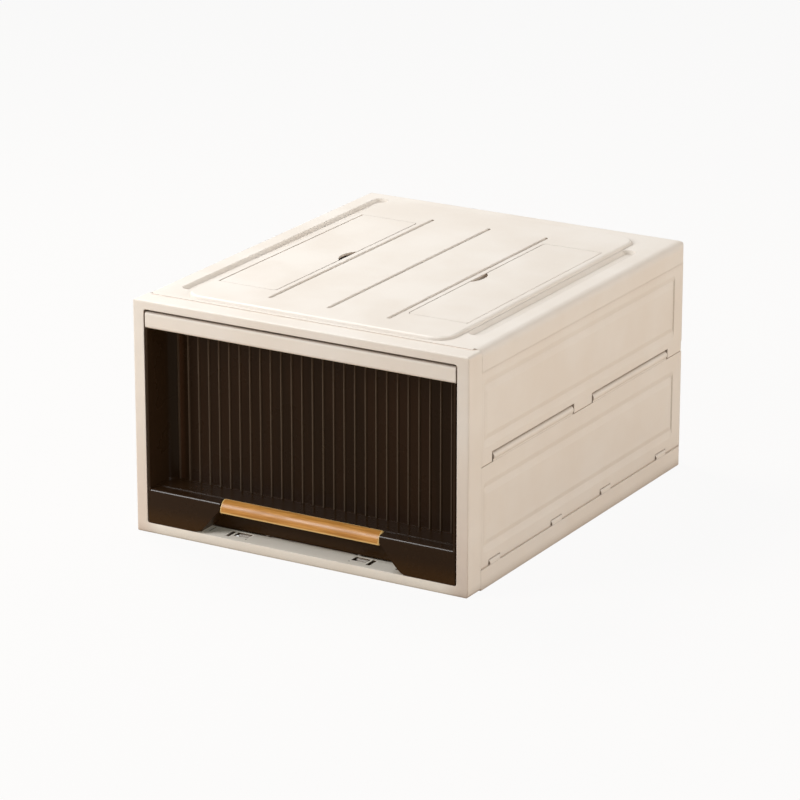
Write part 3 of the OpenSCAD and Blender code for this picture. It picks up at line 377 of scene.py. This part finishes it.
def makeShellPlastic(name, look, front=None):
    m, tree, shader = startMaterial(name)
    soft = placeGroup(tree, softEdge, Radius=0.0013, Reach=0.010)
    grain = placeGroup(tree, moulded, Grain=1500.0, Mottle=14.0, Dust=0.18)
    tone = ramp(tree, grain["Tone"], *look["tone"])
    colour = blend(tree, tone, look["dark"], look["light"])
    # Painted highlight along the edges
    colour = blend(tree, calc(tree, "MULTIPLY", soft["Edge"], look["edgeHighlightShare"]), colour, look["edge"])
    # Painted shade in the corners and creases, which are also made rougher
    creviceShade = calc(tree, "MULTIPLY", ramp(tree, soft["Crevice"], *look["creviceShade"]), look["creviceShadeShare"])
    colour = blend(tree, creviceShade, colour, look["crevice"])
    colour = blend(tree, grain["Dust"], colour, look["dust"])
    place = addNode(tree, "ShaderNodeTexCoord").outputs["Object"]
    x, y, z = addNode(tree, "ShaderNodeSeparateXYZ", {0: place}).outputs
    out = calc(tree, "ABSOLUTE", x)
    # Painted glow in the narrow seams, paler at the foot and head of the side walls and on the top
    ends = calc(tree, "ADD", ramp(tree, z, *look["footZ"]), ramp(tree, z, *look["headZ"]))
    ends = calc(tree, "MULTIPLY", ends, calc(tree, "GREATER_THAN", out, look["wallX"]))
    seam = blend(tree, ends, look["seam"], look["seamLow"])
    onTop = calc(tree, "GREATER_THAN", z, look["topZ"])
    seam = blend(tree, onTop, seam, look["seamHigh"])
    paintedGlow = blend(tree, soft["Seam"], (0, 0, 0, 1), seam)
    # The far ends of the channels face the lamps in front, so painted shade tones them down
    flat = addNode(tree, "ShaderNodeNewGeometry").outputs["True Normal"]
    steep = ramp(tree, addNode(tree, "ShaderNodeSeparateXYZ", {0: flat}).outputs["Y"], *look["steep"])
    steep = calc(tree, "MULTIPLY", steep, onTop)
    steep = calc(tree, "MULTIPLY", steep, calc(tree, "GREATER_THAN", y, look["farY"]))
    colour = blend(tree, steep, colour, look["farEndShade"], "MULTIPLY")
    if front:
        face = calc(tree, "LESS_THAN", y, front["faceY"])
        onSill = calc(tree, "MULTIPLY", ramp(tree, z, *front["faceZ"]), ramp(tree, out, *front["faceX"]))
        # Painted shade down the face of the posts, kept off the sill
        postShade = calc(tree, "MULTIPLY", face, ramp(tree, z, *front["postShadeZ"]))
        postShade = calc(tree, "MULTIPLY", postShade, calc(tree, "SUBTRACT", 1.0, onSill))
        colour = blend(tree, postShade, colour, front["low"], "MULTIPLY")
        # Painted glow on the face and top of the sill
        upper = calc(tree, "GREATER_THAN", z, front["sillZ"])
        sill = calc(tree, "MULTIPLY", calc(tree, "MAXIMUM", face, upper), onSill)
        paintedGlow = blend(tree, sill, paintedGlow, front["paintedGlow"], "ADD")
        halfX, halfY = front["socketHalf"]
        awayY = calc(tree, "ABSOLUTE", calc(tree, "SUBTRACT", y, front["socketY"]))
        fromY = calc(tree, "SUBTRACT", awayY, halfY)
        under = calc(tree, "MULTIPLY", calc(tree, "LESS_THAN", z, front["sillZ"]),
                     calc(tree, "SUBTRACT", 1.0, face))
        # Painted shade inside each latch socket
        for middle in front["sockets"]:
            away = calc(tree, "ABSOLUTE", calc(tree, "SUBTRACT", x, middle))
            inside = calc(tree, "MULTIPLY", under, calc(tree, "LESS_THAN", away, front["socketZone"]))
            colour = blend(tree, inside, colour, front["inside"])
            # Painted glow on the rim of the socket
            edge = calc(tree, "MAXIMUM", calc(tree, "SUBTRACT", away, halfX), fromY)
            rim = calc(tree, "MULTIPLY", calc(tree, "LESS_THAN", edge, front["socketRim"]), upper)
            rim = calc(tree, "MULTIPLY", rim, sill)
            paintedGlow = blend(tree, rim, paintedGlow, front["rim"], "ADD")
    tree.links.new(colour, shader["Base Color"])
    low, high = look["roughness"]
    rough = ramp(tree, grain["Tone"], *toneSpan, low, high)
    rough = calc(tree, "ADD", rough, calc(tree, "MULTIPLY", grain["Dust"], look["dustRoughness"]))
    rough = calc(tree, "ADD", rough, calc(tree, "MULTIPLY", creviceShade, look["creviceRoughness"]))
    tree.links.new(rough, shader["Roughness"])
    tree.links.new(bumped(tree, grain["Height"], soft["Normal"], *look["bump"]), shader["Normal"])
    shader["Specular IOR Level"].default_value = look["specular"]
    # The painted glow goes out as emission
    tree.links.new(paintedGlow, shader["Emission Color"])
    shader["Emission Strength"].default_value = 1.0
    return m


# Smoked plastic of the bin: near black on the ribbed wall, with painted highlights on the rib tips, a
# glossy ledge, painted light and shade by the cheeks, painted light at the foot of the skirt and a faint
# painted glow all over.
smokeLook = {
    "wall": srgb(20, 9, 3),
    "wallWarm": srgb(32, 17, 7),
    "skirt": srgb(41, 29, 20),
    # painted light towards the foot of the skirt
    "foot": srgb(58, 39, 19),
    # painted highlight on the rib tips
    "ribTipHighlight": srgb(83, 72, 61),
    "besideCheekLight": srgb(66, 44, 32),
    "cheekShade": srgb(14, 10, 7),
    "cheekX": (0.1460, 0.1525, 0.1546, 0.1556),  # where the painted light beside the cheeks begins, and where the cheeks begin
    "ledge": srgb(38, 25, 15),
    "through": srgb(18, 9, 3),  # painted glow over the whole bin
    "tipY": (-0.1795, -0.1802),  # from the foot of a rib towards its tip
    "tipZ": (0.0452, 0.0460),
    "frontY": (-0.182, -0.190),  # from the recess out to the ledge and the skirt
    "footZ": (0.032, 0.011),
    "ledgeZ": (0.040, 0.0435),
    "ledgeTop": 0.0465,
    "glossZ": (0.0410, 0.0440),
    "glossY": (-0.1812, -0.1825),
    "gloss": 0.6,
    "glossRoughness": 0.16,
    "streakStretch": (1.0, 1.0, 0.08),
    "streakNoise": (34.0, 3.0),  # scale and detail
    "streak": (0.42, 0.66),
    "roughness": (0.24, 0.34),
    "bump": (0.06, 0.0002),
    "specular": 0.11,
}


def makeSmokePlastic(look):
    m, tree, shader = startMaterial("smokePlastic")
    soft = placeGroup(tree, softEdge, Radius=0.0007, Reach=0.012)
    grain = placeGroup(tree, moulded, Grain=900.0, Mottle=22.0, Dust=0.0)
    place = addNode(tree, "ShaderNodeTexCoord").outputs["Object"]
    x, y, z = addNode(tree, "ShaderNodeSeparateXYZ", {0: place}).outputs
    # Streaks that run down the wall, as the light behind it shows them
    stretched = stretch(tree, place, look["streakStretch"])
    streak = noise(tree, stretched, *look["streakNoise"])
    wall = blend(tree, ramp(tree, streak, *look["streak"]), look["wall"], look["wallWarm"])
    front = ramp(tree, y, *look["frontY"])
    # Painted light on the wall beside the cheeks, and painted shade on the cheeks themselves
    out = calc(tree, "ABSOLUTE", x)
    onCheek = ramp(tree, out, *look["cheekX"][2:])
    wall = blend(tree, ramp(tree, out, *look["cheekX"][:2]), wall, look["besideCheekLight"])
    wall = blend(tree, onCheek, wall, look["cheekShade"])
    # Painted light towards the foot of the skirt
    skirt = blend(tree, ramp(tree, z, *look["footZ"]), look["skirt"], look["foot"])
    colour = blend(tree, front, wall, skirt)
    belowTop = calc(tree, "LESS_THAN", z, look["ledgeTop"])
    upper = calc(tree, "MULTIPLY", ramp(tree, z, *look["ledgeZ"]), belowTop)
    colour = blend(tree, upper, colour, look["ledge"])
    onWall = calc(tree, "SUBTRACT", 1.0, front, clamp=True)
    # Painted highlight on the rib tips
    onTip = calc(tree, "MULTIPLY", ramp(tree, y, *look["tipY"]), onWall)
    onTip = calc(tree, "MULTIPLY", onTip, ramp(tree, z, *look["tipZ"]))
    onTip = calc(tree, "MULTIPLY", onTip, calc(tree, "SUBTRACT", 1.0, onCheek))
    colour = blend(tree, onTip, colour, look["ribTipHighlight"])
    tree.links.new(colour, shader["Base Color"])
    gloss = calc(tree, "MULTIPLY", ramp(tree, z, *look["glossZ"]), belowTop)
    gloss = calc(tree, "MULTIPLY", gloss, ramp(tree, y, *look["glossY"]))
    tree.links.new(calc(tree, "MULTIPLY", gloss, look["gloss"]), shader["Coat Weight"])
    shader["Coat Roughness"].default_value = look["glossRoughness"]
    # Painted glow over the whole bin
    shader["Emission Color"].default_value = look["through"]
    shader["Emission Strength"].default_value = 1.0
    tree.links.new(ramp(tree, grain["Tone"], *toneSpan, *look["roughness"]), shader["Roughness"])
    tree.links.new(bumped(tree, grain["Height"], soft["Normal"], *look["bump"]), shader["Normal"])
    shader["Specular IOR Level"].default_value = look["specular"]
    return m


# Honey-coloured plastic of the handle strip, with faint lengthwise streaks, painted highlights on its
# edges and rim, and painted shade in its crevices.
honeyLook = {
    "light": srgb(222, 160, 82),
    "dark": srgb(190, 128, 54),
    # painted highlight on the edges
    "edge": srgb(243, 204, 138),
    # painted highlight along the rim
    "rim": srgb(252, 218, 146),
    # painted shade in the crevices
    "crevice": srgb(120, 78, 34),
    "shares": (0.6, 0.4, 0.8),  # of the painted edge highlight, the painted crevice shade and the painted rim highlight
    "streakStretch": (0.06, 1.0, 1.0),
    "streakNoise": (520.0, 4.0, 0.6),  # scale, detail and roughness
    "streak": (0.35, 0.68),
    "heights": (0.6, 0.4),  # shares of streaks and grain
    "roughness": (0.30, 0.42),
    "bump": (0.12, 0.0002),
}


def makeHoneyStrip(look):
    m, tree, shader = startMaterial("honeyStrip")
    soft = placeGroup(tree, softEdge, Radius=0.0009, Reach=0.004)
    grain = placeGroup(tree, moulded, Grain=1300.0, Mottle=40.0, Dust=0.1)
    place = addNode(tree, "ShaderNodeTexCoord").outputs["Object"]
    streak = noise(tree, stretch(tree, place, look["streakStretch"]), *look["streakNoise"])
    colour = blend(tree, ramp(tree, streak, *look["streak"]), look["dark"], look["light"])
    rim = addNode(tree, "ShaderNodeAttribute", attribute_name="rim").outputs["Fac"]
    # Painted highlights on the edges and rim, and painted shade in the crevices
    marks = (soft["Edge"], "edge"), (soft["Crevice"], "crevice"), (rim, "rim")
    for (mark, key), share in zip(marks, look["shares"]):
        colour = blend(tree, calc(tree, "MULTIPLY", mark, share), colour, look[key])
    tree.links.new(colour, shader["Base Color"])
    tree.links.new(ramp(tree, grain["Tone"], *toneSpan, *look["roughness"]), shader["Roughness"])
    streakShare, grainShare = look["heights"]
    height = calc(tree, "ADD", calc(tree, "MULTIPLY", streak, streakShare),
                  calc(tree, "MULTIPLY", grain["Height"], grainShare))
    tree.links.new(bumped(tree, height, soft["Normal"], *look["bump"]), shader["Normal"])
    return m


# Steel of the pins and rods, drawn along their length.
steelLook = {
    "light": srgb(204, 205, 208),
    "dark": srgb(160, 161, 166),
    "lineStretch": (1.0, 0.05, 1.0),
    "lineNoise": (3000.0, 2.0),  # scale and detail
    "lines": (0.3, 0.7),
    "roughness": (0.24, 0.38),
    "bump": (0.1, 0.0001),
}


def makePinSteel(look):
    m, tree, shader = startMaterial("pinSteel")
    soft = placeGroup(tree, softEdge, Radius=0.0004, Reach=0.003)
    grain = placeGroup(tree, moulded, Grain=2500.0, Mottle=60.0, Dust=0.0)
    place = addNode(tree, "ShaderNodeTexCoord").outputs["Object"]
    lines = noise(tree, stretch(tree, place, look["lineStretch"]), *look["lineNoise"])
    colour = blend(tree, ramp(tree, lines, *look["lines"]), look["dark"], look["light"])
    tree.links.new(colour, shader["Base Color"])
    tree.links.new(ramp(tree, grain["Tone"], *toneSpan, *look["roughness"]), shader["Roughness"])
    tree.links.new(bumped(tree, lines, soft["Normal"], *look["bump"]), shader["Normal"])
    shader["Metallic"].default_value = 1.0
    return m


# The handle strip: a plate of thickness 2h bent along a path c(s) with tangent t and outward normal n,
# c + w (a t + b n), where (a, b) turns a quarter at each tip and w = h - r (1 - cos u) rounds the ends,
# which lie at x = L/2 - r (1 - sin u). Its attribute "rim" is 1 along every edge and fades inwards.
stripShape = {
    "length": 0.173,
    "front": -0.216,
    "top": 0.046,
    "thick": 0.0025,
    "flat": 0.001,
    "bend": 0.009,  # outer radius
    "drop": 0.003,
    "endRadius": 0.0009,
    "rimWidth": 0.0009,
    "steps": (36, 6, 6),  # along the bend, round a tip, round an end
}


def addHandleStrip(d):
    h, along, tip, end = d["thick"] / 2, *d["steps"]
    radius = d["bend"] - h
    total = d["flat"] + radius * math.pi / 2 + d["drop"]
    s = np.concatenate([np.full(tip, h), np.linspace(h, total - h, along), np.full(tip, total - h)])
    turn = np.clip((s - d["flat"]) / radius, 0, math.pi / 2)
    before, after = np.clip(d["flat"] - s, 0, None), np.clip(s - d["flat"] - radius * math.pi / 2, 0, None)
    centreY, centreZ = d["front"] + d["bend"], d["top"] - d["bend"]
    normal = np.stack([-np.sin(turn), np.cos(turn)], axis=1)
    tangent = np.stack([-np.cos(turn), -np.sin(turn)], axis=1)
    path = np.array([centreY, centreZ]) + radius * normal + (after - before)[:, None] * tangent
    quarter = np.linspace(0, math.pi / 2, tip + 1)[:-1]
    a = np.concatenate([-np.cos(quarter), np.zeros(along), np.cos(quarter[::-1])])
    b = np.concatenate([np.sin(quarter), np.ones(along), np.sin(quarter[::-1])])
    u = np.concatenate([[0], np.linspace(0, math.pi / 2, end + 1)])
    inset = d["endRadius"] * (1 - np.cos(u))
    reach = d["length"] / 2 - d["endRadius"] * (1 - np.sin(u))
    reach[0] -= d["rimWidth"]
    x = np.concatenate([-reach[::-1], reach])
    w = h - np.concatenate([inset[::-1], inset])

    def side(sign):
        off = a[:, None] * tangent + sign * b[:, None] * normal
        yz = path[None] + w[:, None, None] * off[None]
        return np.concatenate([np.broadcast_to(x[:, None, None], yz.shape[:2] + (1,)), yz], axis=2)

    outer, inner = side(1), side(-1)
    loop = np.concatenate([outer, inner[:, -2:0:-1]], axis=1)
    rows, cols, half = loop.shape[0], loop.shape[1], len(s)
    faces = tubeFaces(rows, cols)
    k = np.arange(half - 1)
    other = (cols - k) % cols
    for row, flip in ((0, False), (rows - 1, True)):
        cap = np.stack([k, k + 1, (cols - k - 1) % cols, other], axis=1) + row * cols
        faces += [list(dict.fromkeys(f[::-1] if flip else f)) for f in cap.tolist()]
    strip = addMesh("handleStrip", loop, faces)
    fromTip = np.minimum(s, total - s) - h
    atEnd = np.where(np.abs(x) < reach[0] + 1e-9, 0.0, 1.0)
    across = 1 - np.clip(fromTip / d["rimWidth"], 0, 1)
    across = np.concatenate([across, across[-2:0:-1]])
    rim = np.maximum(atEnd[:, None], across[None, :])
    # The rim carries the painted highlight of the honey strip
    rimOf = strip.data.attributes.new("rim", "FLOAT", "POINT")
    rimOf.data.foreach_set("value", rim.ravel().astype(np.float32))
    return strip


handleStrip = addHandleStrip(stripShape)
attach(handleStrip, "drawer")
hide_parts("handle_strip")
print("handle strip made")

materials = {
    "shell_plastic": makeShellPlastic("shellPlastic", shellLook),
    "front_plastic": makeShellPlastic("frontPlastic", shellLook, frameLook),
    "smoke_plastic": makeSmokePlastic(smokeLook),
    "honey_strip": makeHoneyStrip(honeyLook),
    "pin_steel": makePinSteel(steelLook),
}
for name, obj in nodes.items():
    if name == "drawer_bin":
        paint(obj, materials["smoke_plastic"])
    elif name == "front_frame":
        paint(obj, materials["front_plastic"])
    elif name == "handle_strip":
        continue
    elif "pin" in name or "rod" in name:
        paint(obj, materials["pin_steel"])
    else:
        paint(obj, materials["shell_plastic"])
paint(handleStrip, materials["honey_strip"])
print("materials made")
